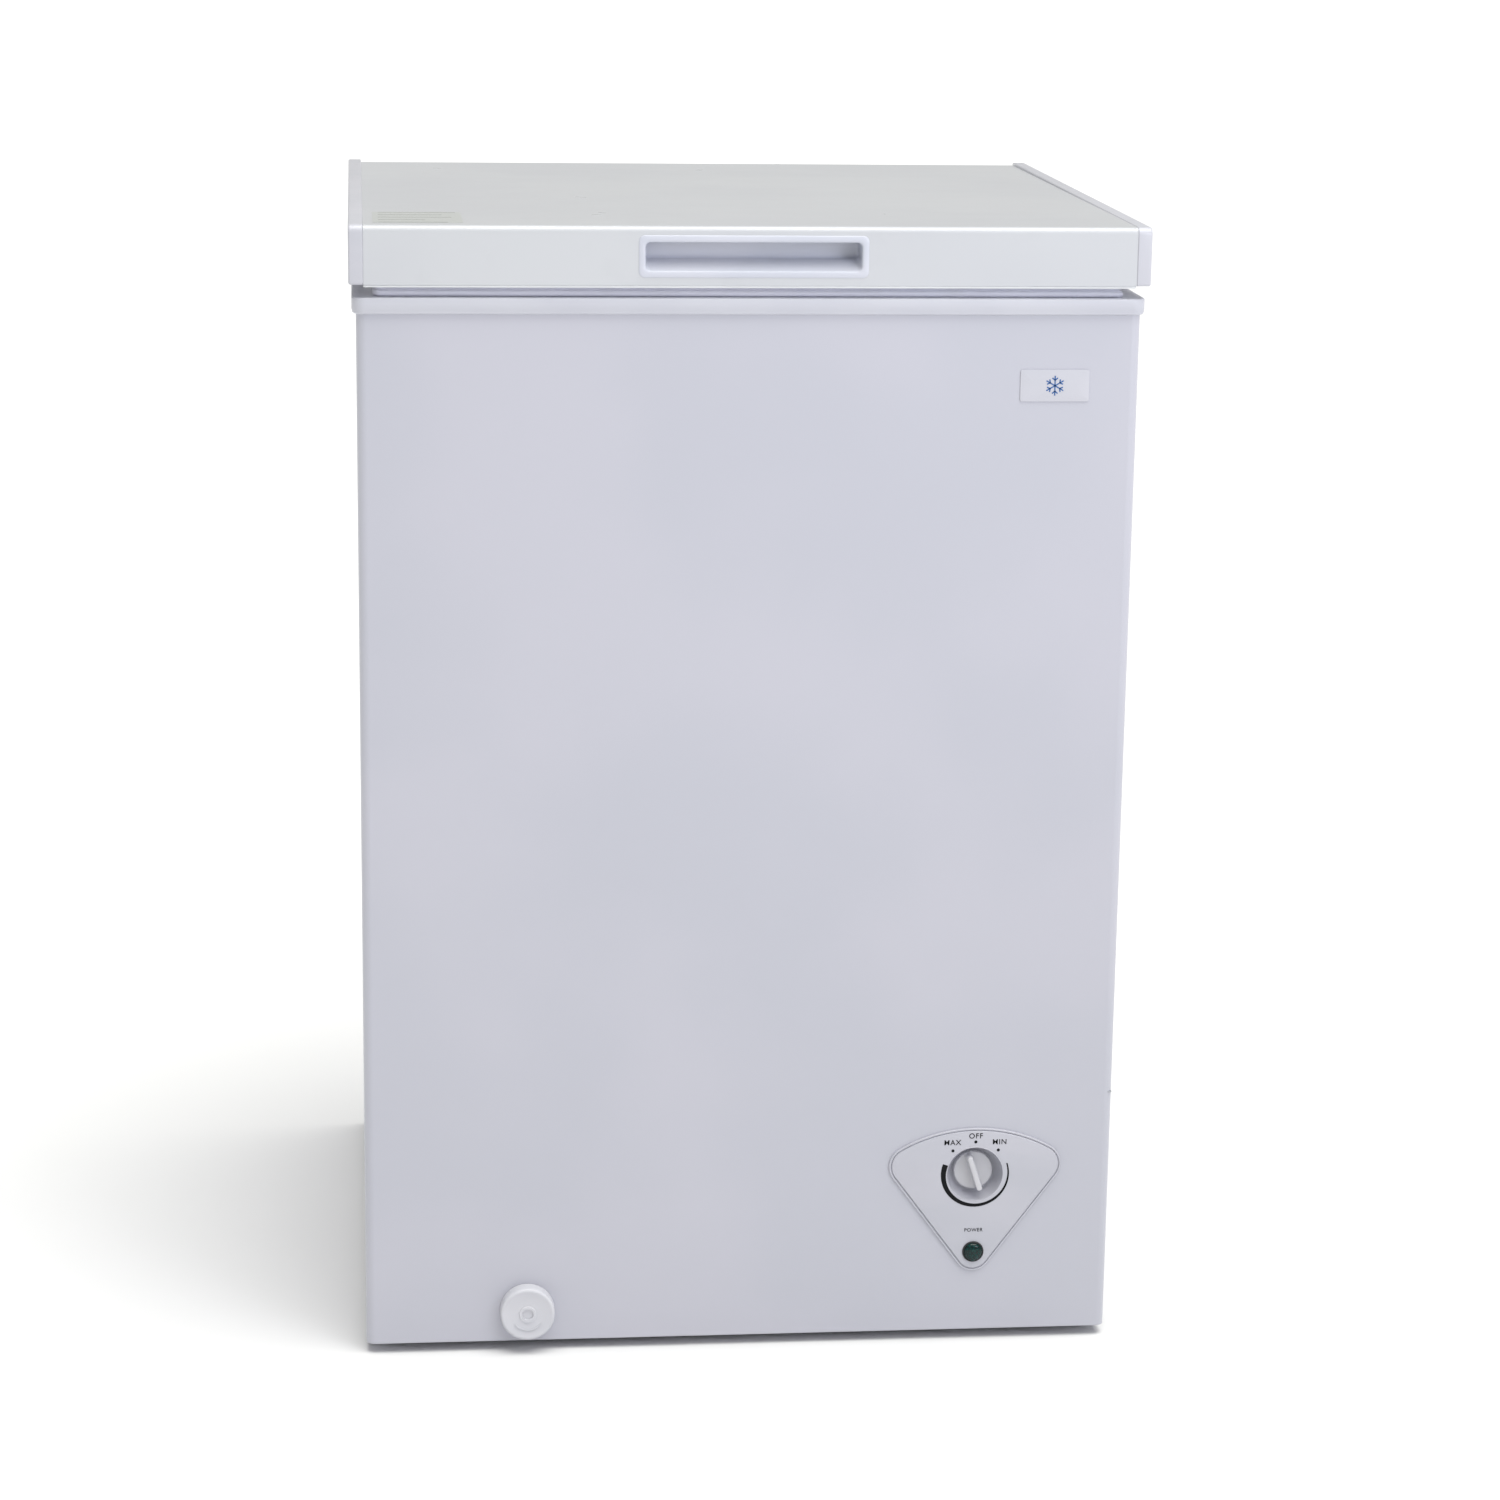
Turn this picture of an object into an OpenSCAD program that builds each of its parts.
// Small chest freezer: a foam-filled steel cabinet with a liner, a hinged lid, a thermostat knob and lamp
// on the front, a defrost drain, a cooling circuit in a compartment at the back right, and a hanging basket.
// The origin is on the floor under the middle of the object. +X is to the right of someone facing the
// front, -Y is the front and +Z is up. Millimetres.

/* [Cabinet] */
// Width of the sheet steel wrapper
cabinet_w = 564; // [470:1:700]
// Depth of the cabinet from its front face to its back
cabinet_d = 532; // [440:1:660]
// Height of the top of the closed lid above the floor
overall_h = 850; // [700:1:1050]
// Radius of the wrapper's front vertical edges
edge_r = 7; // [3:0.5:14]
// Thickness of the sheet steel
sheet_t = 0.8; // [0.5:0.1:1.2]
// Thickness of the foam walls, with their skins
wall_t = 68; // [54:1:84]
// Height of the liner's floor above the base pan
floor_t = 62; // [50:1:80]
// Height of the feet
foot_h = 8; // [6:0.5:14]
// Diameter of a foot
foot_d = 26; // [20:1:36]

/* [Liner and compressor compartment] */
// Thickness of the aluminium liner
liner_t = 0.8; // [0.5:0.1:1.2]
// Corner radius of the liner
liner_r = 24; // [10:1:40]
// Inner width of the compressor compartment
comp_w = 187; // [176:1:230]
// Inner height of the compressor compartment
comp_h = 186; // [180:1:240]
// Foam between the compartment and the liner
comp_foam = 46; // [36:1:60]
// Radius of the compressor's shell
compressor_r = 66; // [55:1:72]
// Height of the compressor's shell
compressor_h = 148; // [120:1:150]

/* [Collar and gasket] */
// Height of the plastic collar on the cabinet's rim
collar_h = 11.7; // [9:0.1:16]
// How far the collar stands out past the wrapper
collar_out = 3; // [1.5:0.5:5]
// Width of the step inside the collar that carries the basket
ledge_w = 12; // [11:0.5:16]
// Height of the gap between the collar and the lid
seal_gap = 9.3; // [8:0.1:14]
// Width of the gasket
gasket_w = 17; // [14:0.5:20]

/* [Lid] */
// How far the lid's front face stands out past the cabinet
lid_front_out = 5; // [3:0.5:8]
// How far the lid's sides stand out past the cabinet
lid_side_out = 5; // [3:0.5:8]
// Height of the lid's front face
lid_h = 44; // [40:1:60]
// Radius of the lid's long front and back edges
lid_edge_r = 4.5; // [2:0.5:8]
// Width of a lid end cap
end_cap_w = 10.5; // [8:0.5:16]
// How far the end caps rise above the lid panel at the back
end_cap_rise = 2; // [1:0.5:3]
// How far the inner panel drops into the cabinet
plug_drop = 14; // [8:1:24]
// Width of the handle recess's frame
handle_w = 164.5; // [120:0.5:220]
// Height of the handle recess's frame
handle_h = 30; // [26:0.5:34]
// Depth of the handle recess
handle_depth = 20; // [14:1:26]

/* [Controls] */
// Width of the fan-shaped control panel
panel_w = 131.5; // [110:0.5:150]
// Height of the control panel
panel_h = 114; // [100:1:125]
// Thickness of the control panel in front of the wrapper
panel_t = 2; // [1.5:0.1:3]
// Distance of the control panel's centre line from the cabinet's right side
panel_side = 104; // [90:1:120]
// Diameter of the thermostat knob
knob_d = 30; // [24:0.5:34]
// Outer diameter of the dished well around the knob
well_d = 42.6; // [38:0.2:48]
// Radius of the thermostat's shaft
shaft_r = 3; // [2.5:0.1:4]
// Diameter of the power lamp's bezel
lamp_d = 16.3; // [12:0.1:20]

/* [Drain] */
// Distance of the drain's centre line from the cabinet's left side
drain_side = 121; // [90:1:160]
// Height of the drain's centre line above the floor
drain_z = 33; // [30:1:40]
// Diameter of the drain cap
drain_cap_d = 41; // [36:0.5:44]
// How far the drain cap stands out from the cabinet
drain_cap_out = 12; // [10:0.5:16]
// Outer radius of the pull-out spout
spout_r = 9; // [7:0.1:10]

/* [Hinges and basket] */
// Distance of each hinge from the middle of the back
hinge_x = 185; // [120:1:200]
// Radius of a hinge barrel
barrel_r = 6; // [5.5:0.1:7]
// Radius of a hinge pin
pin_r = 3; // [2.5:0.1:3.5]
// Width of the storage basket
basket_w = 200; // [150:1:260]
// Height of the storage basket
basket_h = 168; // [120:1:220]

/* [Hidden] */
$fn = 48;

// clearances
fit = 0.05;      // between a fastener or fixed pin and its hole
running = 0.08;  // between a turning or sliding part and its bore
apart = 0.3;     // between faces on two moving bodies
eps = 0.01;

// hinge offset, then the front and back planes
pivot_out = 12;
overall_d = drain_cap_out + cabinet_d + pivot_out + barrel_r;
front_y = drain_cap_out - overall_d / 2;
back_y = front_y + cabinet_d;
half_w = cabinet_w / 2;
inner_x = half_w - sheet_t;
inner_front = front_y + sheet_t;
back_face = back_y - sheet_t;     // outer face of the back panel, inside the wrapper's flanges
inner_back = back_y - 2 * sheet_t;

// heights
lid_z = overall_h - lid_h;
seal_z = lid_z - seal_gap;
rim_z = seal_z - collar_h;
ledge_z = rim_z + 4;
pan_z = foot_h + sheet_t;
pan_t = 1;
pan_top = pan_z + pan_t;
hem_w = 12;

// liner and compartment
liner_x = half_w - wall_t;
liner_y0 = front_y + wall_t;
liner_y1 = back_y - wall_t;
liner_z = pan_top + floor_t;
comp_x = inner_x - comp_w;
comp_top = pan_top + comp_h;
hump_x = comp_x - comp_foam;
hump_z = comp_top + comp_foam;
comp_cx = (comp_x + inner_x) / 2;
comp_cy = back_y - compressor_r - 64;
compressor_z = pan_top + 11;

// coils
evap_r = 3.5;
evap_loops = 7;
evap_gap = 9;
evap_z0 = hump_z + 40;
evap_pitch = floor((rim_z - 45 - evap_z0) / (evap_loops - 1));
evap_x0 = comp_x + 24;
evap_clear = evap_r + 0.3;
evap_y = liner_y1 + liner_t + evap_clear;
evap_out_y = evap_y + 16;
cond_r = 2.5;
cond_passes = 6;
cond_clear = cond_r + 0.2;
cond_bend = 8;
cond_z0 = comp_top + 90;
cond_pitch = floor((rim_z - 40 - cond_z0) / (cond_passes - 1));
cond_x = inner_x - cond_clear;
cond_turn_y = back_y - 40;
cond_down_y = back_y - 20;
leg_z = comp_top - 16;
drier_x = evap_x0;
drier_y = cond_down_y;
drier_top = comp_top - 40;
drier_bottom = drier_top - 80;
pipe_z = pan_top + 92;

// controls
panel_x = half_w - panel_side;
panel_top = 170;
panel_mid = panel_top - panel_h / 2;
fan_top_r = 115;
fan_corner_r = 16;
fan_tip_r = 14;
knob_z = 133.6;
knob_in = 9;
grip_out = 0.8;
grip_w = 4.6;
grip_angle = 18;
well_floor_r = knob_d / 2 + 0.7;
well_depth = 14;
well_wall = 1.5;
shaft_end_y = front_y - panel_t + knob_in + 1;
thermostat_y = front_y + well_depth + 4;
lamp_z = 71.5;
lamp_tube_r = 6;
lead_r = 2;
lead_gap = 12;
lead_z = pan_top + 80;

// drain
drain_x = drain_side - half_w;
drain_y = front_y + 122;
bushing_r = spout_r + 5;
pipe_r = spout_r + 3;
drain_bore_r = spout_r + 1;
drain_bend = 18;
drain_join_z = max(liner_z - 24, drain_z + drain_bend);
cap_wall = 2;

// lid
lid_x = half_w + lid_side_out;
panel_end = lid_x - end_cap_w;
lid_front = front_y - lid_front_out;
lid_back = back_y + 3;
lid_top = overall_h - end_cap_rise;
inner_t = 2;
plug_gap = 16;
plug_x = liner_x - plug_gap;
plug_y0 = liner_y0 + plug_gap;
plug_y1 = liner_y1 - plug_gap;
gasket_side = 17;
gasket_front = 11;
gasket_z = seal_z + 0.2;
handle_z = lid_z + 20.7;
handle_rim = 5;
handle_wall = 2;
handle_out = 0.8;

// hinges
pivot_y = back_y + pivot_out;
pivot_z = seal_z + 4.3;
knuckle_w = 12;
arm_w = 20;
hinge_half = arm_w / 2 + apart + knuckle_w;
leaf_t = 2.5;
hinge_screw_r = 2;
base_screw_x = [-15, 15];
base_screw_z = [pivot_z - 86, pivot_z - 58];
arm_screw_x = [-15, 15];
arm_screw_z = pivot_z + 28;

// basket
wire_r = 1.6;
rim_wire_r = 2.5;
basket_gap = 3;
basket_x1 = liner_x - basket_gap;
basket_x0 = basket_x1 - basket_w;
basket_y0 = liner_y0 + basket_gap;
basket_y1 = liner_y1 - basket_gap;
basket_rim_z = rim_z - 17;
basket_floor_z = basket_rim_z - basket_h;
basket_corner = 15;

// feet and small screws
foot_x = half_w - 105;
foot_y = [front_y + 36, back_y - 36];
foot_screw_r = 2.2;
cover_margin = 12;
cover_t = 1;
cover_x0 = comp_x + 10;
cover_x1 = inner_x - 26;
cover_z0 = pan_top + 14;
cover_z1 = comp_top - 8;
cover_screw_r = 1.8;
gland_x = cover_x0 + 24;
gland_z = cover_z0 + 16;
gland_r = 8;
gland_bore_r = 4;

// ---- helpers ----

function unit(v) = v / norm(v);

// Points on an arc in the plane, from angle a0 to angle a1
function arc(c, r, a0, a1, n = 8) = [
    for (i = [0:n]) let (a = a0 + (a1 - a0) * i / n) c + r * [cos(a), sin(a)]
];

// A rectangle with all four corners rounded
module rounded_rect(x0, x1, y0, y1, r) {
    translate([x0 + r, y0]) square([x1 - x0 - 2 * r, y1 - y0]);
    translate([x0, y0 + r]) square([x1 - x0, y1 - y0 - 2 * r]);
    for (x = [x0 + r, x1 - r], y = [y0 + r, y1 - r]) translate([x, y]) circle(r);
}

// The cabinet's outline, rounded at the front and square at the back, moved in by an inset
module cabinet_outline(inset, back) {
    r = edge_r - inset;
    x = half_w - inset;
    y = front_y + inset;
    translate([-x, y + r]) square([2 * x, back - y - r]);
    translate([r - x, y]) square([2 * (x - r), r + eps]);
    for (s = [-1, 1]) translate([s * (x - r), y + r]) circle(r);
}

// A ring between two rectangles, on the X-Y plane
module rect_ring(x, y0, y1, w) {
    difference() {
        translate([-x, y0]) square([2 * x, y1 - y0]);
        translate([w - x, y0 + w]) square([2 * (x - w), y1 - y0 - 2 * w]);
    }
}

// Draws a Y-Z outline as a bar along X, from x0 to x1
module along_x(x0, x1) {
    translate([x0, 0, 0]) rotate([90, 0, 90]) linear_extrude(x1 - x0) children();
}

// Draws an X-Z outline as a plate along +Y, from y0 to y1
module along_y(y0, y1) {
    translate([0, y1, 0]) rotate([90, 0, 0]) linear_extrude(y1 - y0) children();
}

// A turned shape about a line along -Y through x and z: the outline is radius and distance forward of y
module turned(x, y, z) {
    translate([x, y, z]) rotate([90, 0, 0]) rotate_extrude() children();
}

// A cylinder along +Y
module bar_y(x, y0, y1, z, r) {
    translate([x, y0, z]) rotate([-90, 0, 0]) cylinder(h = y1 - y0, r = r);
}

// A cylinder along +X
module bar_x(x0, x1, y, z, r) {
    translate([x0, y, z]) rotate([0, 90, 0]) cylinder(h = x1 - x0, r = r);
}

// A straight rod between two points
module rod(a, b, r) {
    d = b - a;
    translate(a) rotate([0, acos(d.z / norm(d)), atan2(d.y, d.x)]) cylinder(h = norm(d), r = r);
}

// A quarter bend at corner p between two square directions, of the round section given as a child
module elbow(p, d1, d2, bend) {
    c = p - d1 * bend + d2 * bend;
    n = cross(d1, d2);
    multmatrix([
        [-d2.x, d1.x, n.x, c.x],
        [-d2.y, d1.y, n.y, c.y],
        [-d2.z, d1.z, n.z, c.z],
        [0, 0, 0, 1]
    ]) rotate_extrude(angle = 90) translate([bend, 0]) children();
}

// A round tube's outside along points joined by square bends
module pipe(points, r, bend) {
    last = len(points) - 1;
    for (i = [0:last - 1]) {
        d = unit(points[i + 1] - points[i]);
        a = points[i] + d * (i == 0 ? 0 : bend);
        b = points[i + 1] - d * (i == last - 1 ? 0 : bend);
        if (norm(b - a) > eps) rod(a, b, r);
    }
    for (i = [1:last - 1])
        elbow(points[i], unit(points[i] - points[i - 1]), unit(points[i + 1] - points[i]), bend) circle(r);
}

// A pan-head screw pointing along -Y into the back of the object, its head resting on face y
module back_screw(x, y, z, r, length) {
    bar_y(x, y - length, y, z, r);
    turned(x, y, z) polygon([[0, 0], [2 * r, 0], [1.7 * r, -0.9 * r], [r, -1.2 * r], [0, -1.2 * r]]);
}

// ---- cabinet ----

module wrapper_holes() {
    bar_y(drain_x, front_y - 1, front_y + 3, drain_z, bushing_r + fit);
    bar_y(panel_x, front_y - 1, front_y + 3, knob_z, well_d / 2 + well_wall + 0.2);
    bar_y(panel_x, front_y - 1, front_y + 3, lamp_z, lamp_tube_r + 0.6);
    for (p = panel_pegs()) bar_y(p[0], front_y - 1, front_y + 3, p[1], 3.2);
}

// The folded front and sides, with flanges at the back and a hem along the bottom
module outer_wrapper() color("white") {
    difference() {
        translate([0, 0, foot_h]) linear_extrude(rim_z - foot_h) difference() {
            cabinet_outline(0, back_y);
            cabinet_outline(sheet_t, back_y + 1);
        }
        wrapper_holes();
    }
    for (s = [-1, 1]) translate([s * (inner_x - hem_w / 2), back_y - sheet_t / 2, foot_h])
        linear_extrude(rim_z - foot_h) square([hem_w, sheet_t], center = true);
    translate([0, 0, foot_h]) linear_extrude(sheet_t) difference() {
        cabinet_outline(sheet_t, back_y - sheet_t);
        translate([hem_w - inner_x, inner_front + hem_w]) square([2 * (inner_x - hem_w), cabinet_d]);
    }
}

module cover_corners(x_in, z_in) {
    for (x = [cover_x0 - x_in, cover_x1 + x_in], z = [cover_z0 - z_in, cover_z1 + z_in])
        translate([x, 0, z]) children();
}

// The flat back, with an opening behind the compressor
module back_panel() color("white") difference() {
    translate([-inner_x, inner_back, pan_top]) cube([2 * inner_x, sheet_t, rim_z - pan_top]);
    translate([cover_x0, inner_back - 1, cover_z0]) cube([cover_x1 - cover_x0, 3, cover_z1 - cover_z0]);
    cover_corners(cover_margin / 2, cover_margin / 2) bar_y(0, inner_back - 1, back_y, 0, cover_screw_r + fit);
    hinge_places() for (x = base_screw_x, z = base_screw_z) bar_y(x, inner_back - 1, back_y, z, hinge_screw_r + fit);
}

module foot_places() {
    for (x = [-foot_x, foot_x], y = foot_y) translate([x, y, 0]) children();
}

module grommet_places() {
    for (x = [-1, 1], y = [-1, 1]) translate([comp_cx + x * 64, comp_cy + y * 58, 0]) children();
}

module base_pan() color("lightgray") difference() {
    translate([0, 0, pan_z]) linear_extrude(pan_t) cabinet_outline(sheet_t, inner_back + sheet_t);
    foot_places() cylinder(h = 40, r = foot_screw_r + fit);
    grommet_places() cylinder(h = 40, r = 4 + fit);
}

module foot() difference() {
    rotate_extrude() polygon(concat(
        [[0, 0]], arc([foot_d / 2 - 2, 2], 2, -90, 0, 4), [[foot_d / 2, foot_h], [0, foot_h]]
    ));
    translate([0, 0, -1]) cylinder(h = 5, r = 5);
    cylinder(h = foot_h + 1, r = foot_screw_r + fit);
}

module feet() color("gray") foot_places() foot();

module foot_screws() color("silver") foot_places() {
    translate([0, 0, 2]) cylinder(h = 2, r = 4);
    translate([0, 0, 4]) cylinder(h = foot_h + 8, r = foot_screw_r);
}

// The plastic frame on the rim: its step carries the basket and its top meets the gasket
module top_collar() color("white") {
    x = half_w + collar_out;
    y0 = front_y - collar_out;
    y1 = back_y + collar_out;
    r = edge_r + collar_out;
    for (step = [[rim_z, ledge_z, 0], [ledge_z, seal_z, ledge_w]]) {
        w = step[2];
        translate([0, 0, step[0]]) linear_extrude(step[1] - step[0]) difference() {
            rounded_rect(-x, x, y0, y1, r);
            rounded_rect(-liner_x - w, liner_x + w, liner_y0 - w, liner_y1 + w, liner_r);
        }
    }
}

// The tub that the liner and the foam share, grown outwards by g; its top stands at height top
module tub(g, top) {
    difference() {
        translate([0, 0, liner_z - g]) linear_extrude(top - liner_z + g)
            rounded_rect(-liner_x - g, liner_x + g, liner_y0 - g, liner_y1 + g, liner_r + g);
        translate([hump_x - g, liner_y0 - g - 1, liner_z - g - 1])
            cube([cabinet_w, cabinet_d, hump_z - liner_z + 1]);
    }
}

// The liner's rim, turned out over the foam
module liner_flange(t) {
    w = 14;
    translate([0, 0, rim_z - liner_t]) linear_extrude(t)
        rounded_rect(-liner_x - w, liner_x + w, liner_y0 - w, liner_y1 + w, liner_r + w);
}

module inner_liner() color("lightgray") difference() {
    union() {
        tub(liner_t, rim_z);
        liner_flange(liner_t);
    }
    tub(0, rim_z + 1);
    translate([drain_x, drain_y, liner_z - 3]) cylinder(h = 6, r = pipe_r + fit);
}

// The walls' foam, with channels for the tubes and a space for the compressor
module cabinet_foam() color("khaki") difference() {
    translate([0, 0, pan_top]) linear_extrude(rim_z - pan_top) cabinet_outline(sheet_t, inner_back);
    tub(liner_t, rim_z + 1);
    liner_flange(2);
    translate([comp_x - sheet_t, front_y, pan_top - 1]) cube([cabinet_w, cabinet_d, comp_h + sheet_t + 1]);
    evaporator_channels();
    condenser_channels();
    drain_channels();
    translate([panel_x - 5, thermostat_y + 8, comp_top]) cube([10, 130, 28]);
    hinge_places() for (x = base_screw_x, z = base_screw_z)
        bar_y(x, inner_back - 12, back_y, z, hinge_screw_r + fit);
    foot_places() translate([0, 0, pan_top - 1]) cylinder(h = 14, r = foot_screw_r + fit);
    for (p = panel_pegs()) bar_y(p[0], front_y, front_y + 10, p[1], 4);
}

module evaporator_channels() {
    c = 2 * evap_clear;
    for (i = [0:evap_loops - 1]) translate([0, 0, evap_z0 + i * evap_pitch - evap_clear]) linear_extrude(c)
        translate([-liner_x - liner_t - c, liner_y0 - liner_t - c])
            square([2 * (liner_x + liner_t + c), liner_y1 - liner_y0 + 2 * (liner_t + c)]);
    w = evap_gap * evap_loops + 2 * c;
    translate([evap_x0 - c, liner_y1, comp_top]) cube([w, liner_t + c + 16, rim_z - 40 - comp_top]);
}

module condenser_channels() {
    c = 2 * cond_clear;
    for (i = [0:cond_passes - 1]) translate([0, 0, cond_z0 + i * cond_pitch - cond_clear]) linear_extrude(c)
        difference() {
            cabinet_outline(0, cond_turn_y + c);
            difference() {
                translate([c - inner_x, inner_front + c]) square([2 * (inner_x - c), cabinet_d]);
                for (s = [-1, 1]) translate([s * (inner_x - c), inner_front + c]) circle(cond_bend, $fn = 24);
            }
        }
    for (s = [-1, 1]) translate([s * (inner_x - c / 2) - c / 2, cond_turn_y - c, comp_top])
        cube([c, cond_down_y - cond_turn_y + 2 * c, rim_z - 35 - comp_top]);
}

module drain_channels() {
    bar_y(drain_x, front_y, drain_y + pipe_r, drain_z, bushing_r + 1);
    translate([drain_x, drain_y, drain_z - bushing_r - 1]) cylinder(h = liner_z, r = bushing_r + 1);
}

// The steel sheet that parts the foam from the compressor compartment
module compartment_partition() color("lightgray") difference() {
    translate([comp_x - sheet_t, inner_front, pan_top])
        cube([comp_w + sheet_t, inner_back - inner_front, comp_h + sheet_t]);
    translate([comp_x, front_y, pan_top - 1]) cube([comp_w + 1, cabinet_d, comp_h + 1]);
    for (p = [
        [cond_x, cond_turn_y, cond_r], [cond_x, cond_down_y, cond_r],
        [evap_x0, evap_y, evap_r], [evap_x0 + evap_gap * evap_loops, evap_out_y, evap_r],
        [panel_x, thermostat_y + 14, 1.2]
    ]) translate([p[0], p[1], comp_top - 1]) cylinder(h = 3, r = p[2] + 0.4);
    translate([comp_x - 1, comp_cy - 20, drain_z]) rotate([0, 90, 0]) cylinder(h = 2, r = 4);
}

// ---- cooling circuit ----

// One turn of the evaporator round the liner: it starts at x0 on the back wall and ends at x1
function evap_loop(i, x0) = let (
    z = evap_z0 + i * evap_pitch, x = liner_x + liner_t + evap_clear, y0 = liner_y0 - liner_t - evap_clear
) [[x0, evap_y, z], [-x, evap_y, z], [-x, y0, z], [x, y0, z], [x, evap_y, z], [x0 + evap_gap, evap_y, z]];

evap_end_x = evap_x0 + evap_gap * evap_loops;
evap_points = concat(
    [[evap_x0, evap_y, leg_z]],
    [for (i = [0:evap_loops - 1]) each evap_loop(i, evap_x0 + i * evap_gap)],
    [[evap_end_x, evap_out_y, evap_z0 + (evap_loops - 1) * evap_pitch], [evap_end_x, evap_out_y, leg_z]]
);

module evaporator_coil() color("silver") pipe(evap_points, evap_r, 7);

// One pass of the condenser round the sides and front: even passes run from right to left
function cond_pass(i) = let (
    z = cond_z0 + i * cond_pitch, y0 = inner_front + cond_clear, s = i % 2 == 0 ? 1 : -1
) [[s * cond_x, cond_turn_y, z], [s * cond_x, y0, z], [-s * cond_x, y0, z], [-s * cond_x, cond_turn_y, z]];

cond_end_z = cond_z0 + (cond_passes - 1) * cond_pitch;
cond_points = concat(
    [[cond_x, cond_turn_y, leg_z]],
    [for (i = [0:cond_passes - 2]) each cond_pass(i)],
    [for (j = [0:2]) cond_pass(cond_passes - 1)[j]],
    [
        [cond_x, cond_down_y, cond_end_z], [cond_x, cond_down_y, comp_top - 14],
        [drier_x, drier_y, comp_top - 14], [drier_x, drier_y, drier_top]
    ]
);

module condenser_coil() color("peru") pipe(cond_points, cond_r, cond_bend);

module shell_outline(r, h, c) {
    polygon(concat([[0, 0]], arc([r - c, c], c, -90, 0), arc([r - c, h - c], c, 0, 90), [[0, h]]));
}

// The welded shell, with a seam band and two short stubs for the pipes
module compressor_shell() color("dimgray") {
    wall = 3;
    x_out = evap_end_x - comp_cx;
    translate([comp_cx, comp_cy, compressor_z]) difference() {
        union() {
            rotate_extrude() shell_outline(compressor_r, compressor_h, 30);
            translate([0, 0, compressor_h / 2 - 3]) cylinder(h = 6, r = compressor_r + 2);
            translate([x_out, 0, pipe_z - compressor_z]) rotate([-90, 0, 0]) cylinder(h = compressor_r + 6, r = 6);
            translate([0, 0, pipe_z - compressor_z]) rotate([0, 90, 0]) cylinder(h = compressor_r + 6, r = 5);
        }
        translate([0, 0, wall]) rotate_extrude() shell_outline(compressor_r - wall, compressor_h - 2 * wall, 28);
    }
}

module compressor_motor() color("gray") translate([comp_cx, comp_cy, compressor_z]) {
    translate([0, 0, 3]) cylinder(h = 20, r = 20);
    translate([0, 0, 23]) cylinder(h = 55, r = 50);
    translate([0, 0, 78]) cylinder(h = 36, r = 30);
    translate([-20, -48, 82]) cube([40, 30, 26]);
}

module compressor_plate() color("dimgray") difference() {
    translate([comp_cx - 76, comp_cy - 72, compressor_z - 3]) cube([152, 144, 3]);
    grommet_places() cylinder(h = 60, r = 8);
}

module compressor_grommets() color("black") grommet_places() translate([0, 0, pan_top]) difference() {
    rotate_extrude() polygon([[0, 0], [11, 0], [11, 8], [8 - fit, 8], [8 - fit, 11], [11, 11], [9, 16], [0, 16]]);
    translate([0, 0, -1]) cylinder(h = 20, r = 4 + fit);
}

module compressor_bolts() color("silver") grommet_places() {
    translate([0, 0, pan_z - 2.5]) cylinder(h = 2.5, r = 6);
    translate([0, 0, pan_z - 1]) cylinder(h = 21, r = 4);
    translate([0, 0, pan_top + 16]) cylinder(h = 4, r = 6.5, $fn = 6);
}

// The box over the relay on the compressor's side, with a bore for each lead
module relay_cover() color("black") difference() {
    y = comp_cy - compressor_r - 18;
    translate([panel_x + lead_gap / 2 - 26, y, pan_top + 50]) cube([52, 40, 58]);
    translate([comp_cx, comp_cy, 0]) cylinder(h = compressor_z + compressor_h, r = compressor_r + 2.2);
    for (x = [0, lead_gap]) bar_y(panel_x + x, y - 1, y + 6, lead_z, lead_r + fit);
}

module filter_drier() color("peru") {
    translate([drier_x, drier_y, drier_bottom]) rotate_extrude() polygon([
        [0, -10], [2.5, -10], [3, 0], [9, 6], [9, 74], [3.5, 80], [0, 80]
    ]);
}

module discharge_pipe() color("peru") pipe([
    [comp_cx + compressor_r + 6, comp_cy, pipe_z], [cond_x, comp_cy, pipe_z],
    [cond_x, comp_cy, pipe_z + 50], [cond_x, cond_turn_y, pipe_z + 50], [cond_x, cond_turn_y, leg_z]
], cond_r, 6);

module suction_pipe() color("peru") pipe([
    [evap_end_x, evap_out_y, leg_z], [evap_end_x, evap_out_y, pipe_z],
    [evap_end_x, comp_cy + compressor_r + 6, pipe_z]
], evap_r, 7);

module capillary_tube() color("peru") pipe([
    [drier_x, drier_y, drier_bottom - 10], [drier_x, drier_y, drier_bottom - 24],
    [evap_x0, evap_y, drier_bottom - 24], [evap_x0, evap_y, leg_z]
], 1.2, 6);

// ---- controls ----

// Outline points of the fan-shaped panel round its middle: a wide arc on top and three rounded corners
fan_cx = panel_w / 2 - fan_corner_r;
fan_cz = panel_h / 2 - fan_top_r + sqrt(pow(fan_top_r - fan_corner_r, 2) - pow(fan_cx, 2));
fan_tip_z = fan_tip_r - panel_h / 2;
fan_half = asin(fan_cx / (fan_top_r - fan_corner_r));
fan_lean = atan2(fan_cx, fan_cz - fan_tip_z);
fan_side = -fan_lean + asin((fan_corner_r - fan_tip_r) / norm([fan_cx, fan_cz - fan_tip_z]));
fan_points = concat(
    arc([0, panel_h / 2 - fan_top_r], fan_top_r, 90 + fan_half, 90 - fan_half, 20),
    arc([fan_cx, fan_cz], fan_corner_r, 90 - fan_half, fan_side, 10),
    arc([0, fan_tip_z], fan_tip_r, fan_side, -180 - fan_side, 10),
    arc([-fan_cx, fan_cz], fan_corner_r, 180 - fan_side, 90 + fan_half, 10)
);

function panel_pegs() = [
    [panel_x - 46, panel_top - 32], [panel_x + 46, panel_top - 32], [panel_x, panel_top - panel_h + 40]
];

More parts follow.
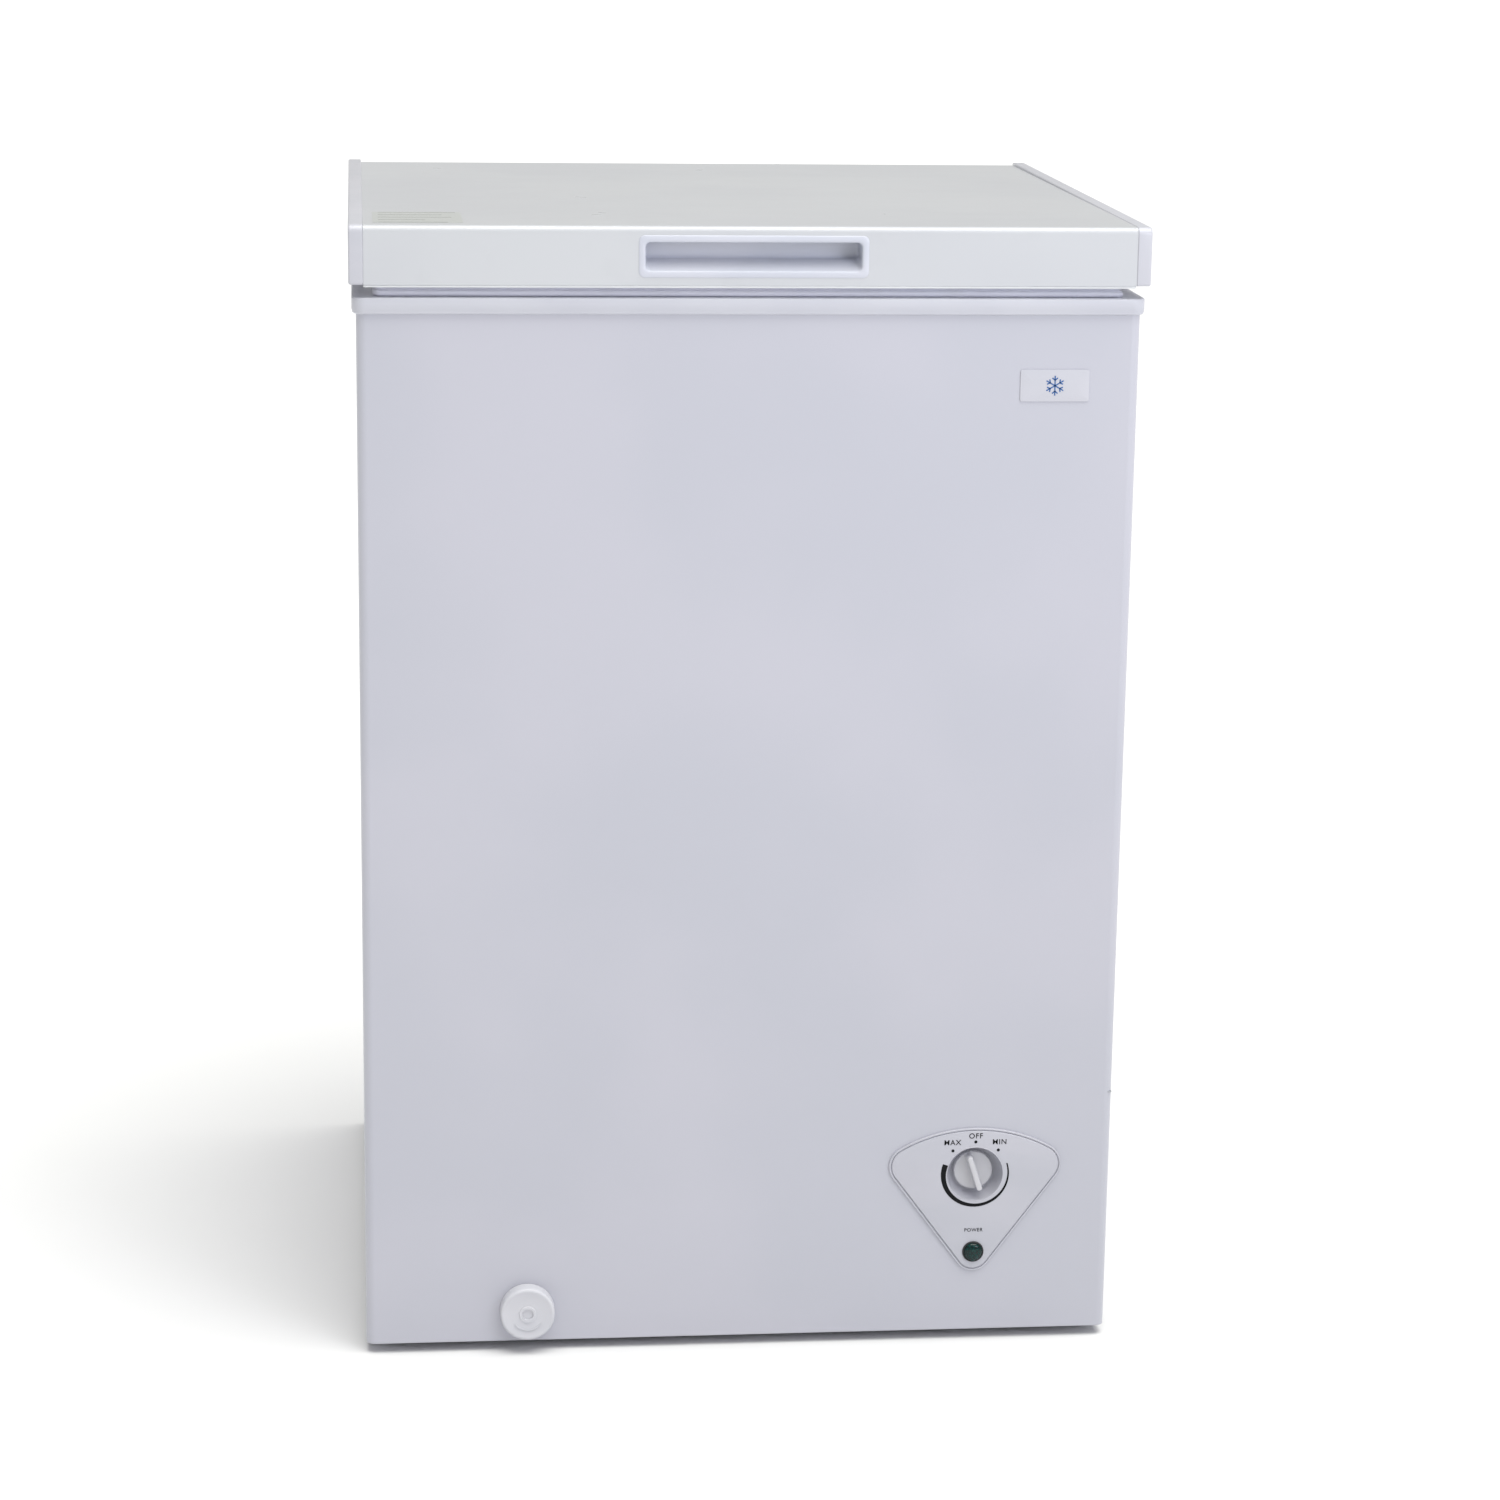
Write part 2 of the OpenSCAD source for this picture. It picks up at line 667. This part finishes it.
// The dished well's section: radius against distance forward of the wrapper's face
function well_section() = let (
    ro = well_d / 2, ri = well_floor_r, b = panel_t - well_depth,
    dish = [for (i = [0:6]) [ri + (ro - ri) * sin(i * 15), b + well_depth * (1 - cos(i * 15))]]
) concat(
    [[shaft_r + apart, b]], dish,
    [[ro + well_wall, panel_t]], [for (i = [6:-1:0]) dish[i] + [well_wall, -well_wall]],
    [[shaft_r + apart, b - well_wall]]
);

module control_panel() color("white") {
    difference() {
        translate([panel_x, 0, panel_mid]) along_y(front_y - panel_t, front_y) polygon(fan_points);
        bar_y(panel_x, front_y - 9, front_y + 1, knob_z, well_d / 2 + 0.5);
        bar_y(panel_x, front_y - 9, front_y + 1, lamp_z, lamp_tube_r + fit);
    }
    turned(panel_x, front_y, knob_z) polygon(well_section());
    for (p = panel_pegs()) bar_y(p[0], front_y - 1, front_y + 6, p[1], 3);
}

module thermostat_body() color("silver") difference() {
    union() {
        translate([panel_x - 20, thermostat_y, knob_z - 18]) cube([40, 28, 36]);
        bar_y(panel_x, front_y + well_depth - panel_t + well_wall, thermostat_y + 1, knob_z, 6);
    }
    bar_y(panel_x, front_y, thermostat_y + 14, knob_z, shaft_r + running);
    translate([panel_x, thermostat_y + 14, knob_z + 10]) cylinder(h = 20, r = 1.2 + fit);
    bar_y(panel_x + lead_gap, thermostat_y + 18, thermostat_y + 40, knob_z - 8, lead_r + fit);
}

// The thermostat's capillary, ending in the thicker sensing bulb under the liner's step
module thermostat_bulb() color("peru") {
    z = comp_top + 20;
    pipe([
        [panel_x, thermostat_y + 14, knob_z + 10], [panel_x, thermostat_y + 14, z],
        [panel_x, thermostat_y + 60, z]
    ], 1.2, 6);
    bar_y(panel_x, thermostat_y + 60, thermostat_y + 130, z, 4);
}

module lamp_housing() color("black") difference() {
    union() {
        bar_y(panel_x, front_y - panel_t - 1.2, front_y - panel_t, lamp_z, lamp_d / 2);
        bar_y(panel_x, front_y - panel_t - 0.5, front_y + 24, lamp_z, lamp_tube_r);
    }
    bar_y(panel_x, front_y - panel_t - 2, front_y + 16, lamp_z, lamp_tube_r - 1.2);
    bar_y(panel_x, front_y + 14, front_y + 30, lamp_z, lead_r + fit);
}

module indicator_lens() color("teal") {
    r = lamp_d / 2 - 0.9;
    turned(panel_x, front_y - panel_t - 1.2, lamp_z)
        polygon(concat([[0, 0]], [for (i = [0:8]) [r * cos(i * 11.25), 2.8 * sin(i * 11.25)]]));
    bar_y(panel_x, front_y - panel_t - 1.2, front_y + 6, lamp_z, lamp_tube_r - 1.2 - fit);
}

// Two sleeved leads, from the lamp and from the thermostat, to the compressor's relay
module wiring_harness() color("black") for (lead = [
    [panel_x, front_y + 18, lamp_z], [panel_x + lead_gap, thermostat_y + 20, knob_z - 8]
]) {
    x = lead[0];
    y = thermostat_y + 70;
    pipe([lead, [x, y, lead[2]], [x, y, lead_z], [x, comp_cy - compressor_r - 12, lead_z]], lead_r, 4);
}

module badge_plate() color("white") translate([half_w - 62, 0, rim_z - 51]) along_y(front_y - 1.2, front_y)
    rounded_rect(-25.15, 25.15, -11.5, 11.5, 1.5);

// The knob: a disc at the bottom of the well, and a straight grip across it that reaches the panel's face
module thermostat_knob() color("white") {
    back = panel_t - well_depth + apart;
    face = panel_t - knob_in;
    difference() {
        union() {
            turned(panel_x, front_y, knob_z) polygon([
                [0, back], [knob_d / 2, back], [knob_d / 2, face - 0.8], [knob_d / 2 - 0.8, face], [0, face]
            ]);
            translate([panel_x, front_y, knob_z]) rotate([0, -grip_angle, 0])
                translate([-grip_w / 2, -panel_t - grip_out, -knob_d / 2 + 1.2])
                    cube([grip_w, grip_out + knob_in + 1, knob_d - 2.4]);
        }
        bar_y(panel_x, shaft_end_y, front_y + well_depth, knob_z, shaft_r + fit);
    }
}

module thermostat_shaft() color("silver")
    bar_y(panel_x, shaft_end_y, thermostat_y + 13.5, knob_z, shaft_r);

// ---- drain ----

module drain_bushing() color("white") difference() {
    union() {
        bar_y(drain_x, front_y - 2, front_y, drain_z, bushing_r + 2);
        bar_y(drain_x, front_y - 1, front_y + 20, drain_z, bushing_r);
    }
    bar_y(drain_x, front_y - 3, front_y + 21, drain_z, spout_r + running);
}

// The drain's elbow, from the fitting in the liner's floor to the bushing in the front
module drain_pipe() color("white") {
    difference() {
        bar_y(drain_x, front_y + 20, drain_y - drain_bend, drain_z, pipe_r);
        bar_y(drain_x, front_y + 19, drain_y - drain_bend + 1, drain_z, drain_bore_r);
    }
    elbow([drain_x, drain_y, drain_z], [0, 1, 0], [0, 0, 1], drain_bend) difference() {
        circle(pipe_r);
        circle(drain_bore_r);
    }
    rise = drain_join_z - drain_z - drain_bend;
    if (rise > 0) translate([drain_x, drain_y, drain_z + drain_bend]) difference() {
        cylinder(h = rise, r = pipe_r);
        translate([0, 0, -1]) cylinder(h = rise + 2, r = drain_bore_r);
    }
}

module drain_fitting() color("white") translate([drain_x, drain_y, liner_z]) difference() {
    union() {
        rotate_extrude() polygon([[0, 0], [22, 0], [20, 2], [0, 2]]);
        translate([0, 0, drain_join_z - liner_z]) cylinder(h = liner_z - drain_join_z + 1, r = pipe_r);
    }
    translate([0, 0, -25]) cylinder(h = 30, r = drain_bore_r);
}

module inner_drain_plug() color("gray") translate([drain_x, drain_y, liner_z]) {
    translate([0, 0, -10]) cylinder(h = 13, r = drain_bore_r - running);
    rotate_extrude() polygon([[0, 2 + apart], [17, 2 + apart], [17, 4.5], [15, 6.5], [0, 6.5]]);
    translate([-2, -10, 6]) cube([4, 20, 9]);
}

// The tube that pulls out of the front, with a hole in its underside for the water
module drain_spout() color("white") difference() {
    bar_y(drain_x, front_y - drain_cap_out + 5, front_y + 58, drain_z, spout_r);
    bar_y(drain_x, front_y - drain_cap_out + 4, front_y + 59, drain_z, spout_r - 2.5);
    translate([drain_x, front_y + 8, drain_z - 20]) cylinder(h = 20, r = 4);
}

module drain_cap() color("white") {
    r = drain_cap_d / 2;
    d = drain_cap_out;
    turned(drain_x, front_y, drain_z) polygon([
        [0, d - 3], [spout_r + running, d - 3], [spout_r + running, 4], [spout_r + 2.5, 4],
        [spout_r + 2.5, d - 3], [r - cap_wall, d - 3], [r - cap_wall, apart], [r, apart],
        [r, d - 1.6], [r - 1.6, d], [6.2, d], [6.2, d - 0.8], [4.3, d - 0.8], [4.3, d], [0, d]
    ]);
}

// ---- back ----

module rear_cover() color("gainsboro") difference() {
    m = cover_margin;
    w = cover_x1 - cover_x0;
    translate([cover_x0 - m, back_face, cover_z0 - m]) cube([w + 2 * m, cover_t, cover_z1 - cover_z0 + 2 * m]);
    cover_corners(m / 2, m / 2) bar_y(0, back_face - 1, back_y + 5, 0, cover_screw_r + fit);
    for (i = [0:8], s = [0, 1])
        translate([cover_x0 + 8 + s * (w / 2), back_face - 1, cover_z0 + 42 + i * 12]) cube([w / 2 - 16, 4, 5]);
    bar_y(gland_x, back_face - 1, back_y + 5, gland_z, gland_r + fit);
}

module rear_cover_screws() color("silver") cover_corners(cover_margin / 2, cover_margin / 2)
    back_screw(0, back_face + cover_t, 0, cover_screw_r, 7);

module cord_gland() color("black") difference() {
    union() {
        bar_y(gland_x, back_face + cover_t, back_face + cover_t + 2, gland_z, gland_r + 3);
        bar_y(gland_x, back_face - 9, back_face + cover_t + 1, gland_z, gland_r);
    }
    bar_y(gland_x, back_face - 10, back_face + cover_t + 3, gland_z, gland_bore_r);
}

// ---- hinges ----

module hinge_places() {
    for (s = [-1, 1]) translate([s * hinge_x, 0, 0]) children();
}

module barrel(x0, x1) bar_x(x0, x1, pivot_y, pivot_z, barrel_r);

// A leaf on the cabinet's back that steps out round the collar to two knuckles
module hinge_bases() color("silver") hinge_places() difference() {
    y0 = back_face;
    y1 = back_y + collar_out + 1.8;
    union() {
        along_x(-hinge_half, hinge_half) polygon([
            [y0, pivot_z - 100], [y0 + leaf_t, pivot_z - 100], [y0 + leaf_t, rim_z - 12],
            [y1 + leaf_t, rim_z - 4], [y1 + leaf_t, pivot_z - barrel_r - 2], [y1, pivot_z - barrel_r - 2],
            [y1, rim_z - 3], [y0, rim_z - 11]
        ]);
        for (s = [-1, 1]) translate([s * (hinge_half - knuckle_w / 2), 0, 0]) {
            barrel(-knuckle_w / 2, knuckle_w / 2);
            along_x(-knuckle_w / 2, knuckle_w / 2) polygon([
                [y1, pivot_z - barrel_r - 4], [y1 + leaf_t, pivot_z - barrel_r - 4],
                [pivot_y, pivot_z - barrel_r + 1], [pivot_y, pivot_z], [y1, pivot_z]
            ]);
        }
    }
    bar_x(-hinge_half - 1, hinge_half + 1, pivot_y, pivot_z, pin_r + fit);
    for (x = base_screw_x, z = base_screw_z) bar_y(x, back_face - 1, back_y + 5, z, hinge_screw_r + fit);
}

module hinge_base_screws() color("silver") hinge_places() for (x = base_screw_x, z = base_screw_z)
    back_screw(x, back_face + leaf_t, z, hinge_screw_r, 13);

module hinge_pins() color("silver") hinge_places() {
    bar_x(-hinge_half - 1, hinge_half, pivot_y, pivot_z, pin_r);
    bar_x(hinge_half, hinge_half + 1.5, pivot_y, pivot_z, pin_r + 1.5);
}

// A leaf on the lid's back edge with one knuckle between the base's two
module hinge_arms() color("silver") hinge_places() difference() {
    y0 = lid_back;
    union() {
        barrel(-arm_w / 2, arm_w / 2);
        along_x(-arm_w / 2, arm_w / 2) polygon([
            [y0 + 1.8, pivot_z], [pivot_y, pivot_z], [pivot_y - 2, pivot_z + barrel_r - 1],
            [y0 + leaf_t, pivot_z + 12], [y0 + leaf_t, pivot_z + 14], [y0, pivot_z + 14], [y0, pivot_z + 9]
        ]);
        translate([-hinge_half, y0, pivot_z + 12]) cube([2 * hinge_half, leaf_t, 28]);
    }
    bar_x(-arm_w, arm_w, pivot_y, pivot_z, pin_r + running);
    for (x = arm_screw_x) bar_y(x, y0 - 1, y0 + 5, arm_screw_z, hinge_screw_r + fit);
}

module hinge_arm_screws() color("silver") hinge_places() for (x = arm_screw_x)
    back_screw(x, lid_back + leaf_t, arm_screw_z, hinge_screw_r, 12);

// ---- lid ----

// The lid panel's Y-Z outline, open at the bottom edge, moved in by an inset
module lid_outline(inset) {
    r = lid_edge_r - inset;
    y0 = lid_front + inset;
    y1 = lid_back - inset;
    top = lid_top - inset;
    polygon(concat(
        [[y0, lid_z]], arc([y0 + r, top - r], r, 180, 90), arc([y1 - r, top - r], r, 90, 0), [[y1, lid_z]]
    ));
}

// The end cap's Y-Z outline: it follows the lid and rises towards the back
module cap_outline(inset) {
    r = 5.5 - inset;
    y0 = lid_front - 0.4 + inset;
    y1 = lid_back - inset;
    top = lid_top + 0.3 - inset;
    polygon(concat(
        arc([y0 + 2, lid_z + inset + 2], 2, 270, 180, 4), arc([y0 + r, top - r], r, 180, 90),
        [[y1, overall_h - inset], [y1, lid_z + inset]]
    ));
}

module lid_outer_panel() color("white") difference() {
    along_x(-panel_end, panel_end) difference() {
        lid_outline(0);
        lid_outline(sheet_t);
        translate([lid_front + sheet_t, lid_z - 1]) square([lid_back - lid_front - 2 * sheet_t, 2]);
    }
    translate([0, 0, handle_z]) along_y(lid_front - 1, lid_front + 3) handle_body();
    hinge_places() for (x = arm_screw_x) bar_y(x, lid_back - 5, lid_back + 5, arm_screw_z, hinge_screw_r + fit);
}

// The right-hand end cap; the left one is its mirror image
module end_cap() difference() {
    along_x(panel_end, lid_x) cap_outline(0);
    along_x(panel_end - 1, lid_x - 2.5) cap_outline(2.5);
}

module lid_end_cap_right() color("white") end_cap();
module lid_end_cap_left() color("white") mirror([1, 0, 0]) end_cap();

module handle_frame() rounded_rect(-handle_w / 2, handle_w / 2, -handle_h / 2, handle_h / 2, 4.5);
module handle_body() {
    x = handle_w / 2 - handle_rim + handle_wall;
    z = handle_h / 2 - handle_rim + handle_wall;
    rounded_rect(-x, x, -z, z, 3);
}

// The hand recess: a frame on the front and a pocket whose floor slopes up to the back
module lid_handle_insert() color("white") difference() {
    translate([0, 0, handle_z]) union() {
        along_y(lid_front - handle_out, lid_front) handle_frame();
        along_y(lid_front - handle_out / 2, lid_front + handle_depth + handle_wall) handle_body();
    }
    x = handle_w / 2 - handle_rim;
    z = handle_h / 2 - handle_rim;
    along_x(-x, x) polygon([
        [lid_front - 2, handle_z - z], [lid_front + 3, handle_z - z], [lid_front + handle_depth, handle_z - z + 5],
        [lid_front + handle_depth, handle_z + z], [lid_front - 2, handle_z + z]
    ]);
}

// The moulded underside: a flange inside the lid's edge and a shallow pan that drops into the cabinet
module lid_inner_panel() color("white") {
    y0 = lid_front + sheet_t;
    y1 = lid_back - sheet_t;
    translate([0, 0, lid_z]) linear_extrude(inner_t) difference() {
        translate([-panel_end, y0]) square([2 * panel_end, y1 - y0]);
        plug_outline(inner_t);
    }
    translate([0, 0, seal_z - plug_drop]) difference() {
        linear_extrude(plug_drop + seal_gap + inner_t) plug_outline(0);
        translate([0, 0, inner_t]) linear_extrude(60) plug_outline(inner_t);
    }
}

module plug_outline(inset) rounded_rect(
    inset - plug_x, plug_x - inset, plug_y0 + inset, plug_y1 - inset, liner_r - inset
);

module lid_foam() color("khaki") difference() {
    union() {
        along_x(-panel_end, panel_end) lid_outline(sheet_t);
        for (s = [0, 1]) mirror([s, 0, 0]) along_x(panel_end, lid_x - 2.5) cap_outline(2.5);
        translate([0, 0, seal_z - plug_drop + inner_t]) linear_extrude(plug_drop + seal_gap) plug_outline(inner_t);
    }
    translate([0, 0, lid_z - 1]) linear_extrude(inner_t + 1) difference() {
        translate([-panel_end, lid_front]) square([2 * panel_end, lid_back - lid_front]);
        plug_outline(inner_t);
    }
    translate([0, 0, handle_z]) along_y(lid_front, lid_front + handle_depth + handle_wall) handle_body();
    hinge_places() for (x = arm_screw_x) bar_y(x, lid_back - 13, lid_back + 5, arm_screw_z, hinge_screw_r + fit);
}

gasket_x = lid_x - gasket_side;
gasket_y0 = lid_front + gasket_front;
gasket_y1 = lid_back - gasket_front;
magnet_in = (gasket_w - 9) / 2;

// The soft seal: a ring with a tunnel for the magnet strips
module lid_gasket() color("gainsboro") difference() {
    translate([0, 0, gasket_z]) linear_extrude(lid_z - gasket_z) rect_ring(gasket_x, gasket_y0, gasket_y1, gasket_w);
    translate([0, 0, gasket_z + 0.8]) linear_extrude(3)
        rect_ring(gasket_x - magnet_in, gasket_y0 + magnet_in, gasket_y1 - magnet_in, 9);
}

module gasket_magnets() color("black") {
    x = gasket_x - magnet_in - 0.3;
    y0 = gasket_y0 + magnet_in + 0.3;
    y1 = gasket_y1 - magnet_in - 0.3;
    translate([0, 0, gasket_z + 1]) linear_extrude(2.6) {
        for (y = [y0, y1 - 8.4]) translate([12 - x, y]) square([2 * (x - 12), 8.4]);
        for (s = [-1, 1]) translate([s * (x - 4.2) - 4.2, y0 + 12]) square([8.4, y1 - y0 - 24]);
    }
}

module lid_label() color("gainsboro") translate([7 - panel_end, lid_front + 18, lid_top]) cube([64, 80, 0.3]);

// ---- basket ----

module rim_path() pipe([
    [(basket_x0 + basket_x1) / 2, basket_y0 + rim_wire_r, basket_rim_z],
    [basket_x1 - rim_wire_r, basket_y0 + rim_wire_r, basket_rim_z],
    [basket_x1 - rim_wire_r, basket_y1 - rim_wire_r, basket_rim_z],
    [basket_x0 + rim_wire_r, basket_y1 - rim_wire_r, basket_rim_z],
    [basket_x0 + rim_wire_r, basket_y0 + rim_wire_r, basket_rim_z],
    [(basket_x0 + basket_x1) / 2, basket_y0 + rim_wire_r, basket_rim_z]
], rim_wire_r, basket_corner);

// A loop that rises from the rim and lies on the collar's step; dir is -1 at the front and 1 at the back
module basket_handle(y, dir) {
    z = ledge_z + apart + rim_wire_r;
    out = y + dir * (basket_gap + rim_wire_r + 6);
    x0 = basket_x0 + 40;
    x1 = basket_x1 - 40;
    pipe([
        [x0, y, basket_rim_z], [x0, y, z], [x0, out, z], [x1, out, z], [x1, y, z], [x1, y, basket_rim_z]
    ], rim_wire_r, 5);
}

module basket_rim() color("white") {
    rim_path();
    basket_handle(basket_y0 + rim_wire_r, -1);
    basket_handle(basket_y1 - rim_wire_r, 1);
}

grid_in = 2 * rim_wire_r + wire_r;
grid_x0 = basket_x0 + grid_in;
grid_x1 = basket_x1 - grid_in;
grid_y0 = basket_y0 + grid_in;
grid_y1 = basket_y1 - grid_in;
short_wires = 5;
long_wires = 8;
grid_step_x = (grid_x1 - grid_x0 - 2 * basket_corner) / (short_wires - 1);
grid_step_y = (grid_y1 - grid_y0 - 2 * basket_corner) / (long_wires - 1);
weld = 2 * wire_r - 0.6;
rail_z = [basket_rim_z - basket_h / 3, basket_rim_z - 2 * basket_h / 3];

// The four upright grids: wires from the rim down to the floor, with two rails inside each
module basket_side_grids() color("white") {
    for (side = [[grid_y0, 1], [grid_y1, -1]]) {
        for (i = [0:short_wires - 1]) {
            x = grid_x0 + basket_corner + i * grid_step_x;
            rod([x, side[0], basket_floor_z], [x, side[0], basket_rim_z + 1.5], wire_r);
        }
        for (z = rail_z) bar_x(grid_x0 + 8, grid_x1 - 8, side[0] + side[1] * weld, z, wire_r);
    }
    for (side = [[grid_x0, 1], [grid_x1, -1]]) {
        for (i = [0:long_wires - 1]) {
            y = grid_y0 + basket_corner + i * grid_step_y;
            rod([side[0], y, basket_floor_z], [side[0], y, basket_rim_z + 1.5], wire_r);
        }
        for (z = rail_z) bar_y(side[0] + side[1] * weld, grid_y0 + 8, grid_y1 - 8, z, wire_r);
    }
}

// The floor grid: it meets the upright wires end to side
module basket_floor_grid() color("white") {
    z = basket_floor_z + wire_r;
    for (i = [0:short_wires - 1])
        bar_y(grid_x0 + basket_corner + i * grid_step_x, grid_y0 + wire_r, grid_y1 - wire_r, z, wire_r);
    for (i = [0:long_wires - 1])
        bar_x(grid_x0 + wire_r, grid_x1 - wire_r, grid_y0 + basket_corner + i * grid_step_y, z + weld, wire_r);
}

outer_wrapper();
back_panel();
base_pan();
top_collar();
inner_liner();
cabinet_foam();
compartment_partition();
evaporator_coil();
condenser_coil();
compressor_shell();
compressor_motor();
compressor_plate();
compressor_grommets();
compressor_bolts();
relay_cover();
filter_drier();
discharge_pipe();
suction_pipe();
capillary_tube();
thermostat_body();
thermostat_bulb();
lamp_housing();
indicator_lens();
wiring_harness();
control_panel();
badge_plate();
drain_bushing();
drain_pipe();
drain_fitting();
rear_cover();
rear_cover_screws();
cord_gland();
feet();
foot_screws();
hinge_bases();
hinge_base_screws();
hinge_pins();
lid_outer_panel();
lid_end_cap_left();
lid_end_cap_right();
lid_handle_insert();
lid_inner_panel();
lid_foam();
lid_gasket();
gasket_magnets();
hinge_arms();
hinge_arm_screws();
lid_label();
thermostat_knob();
thermostat_shaft();
drain_spout();
drain_cap();
inner_drain_plug();
basket_rim();
basket_side_grids();
basket_floor_grid();
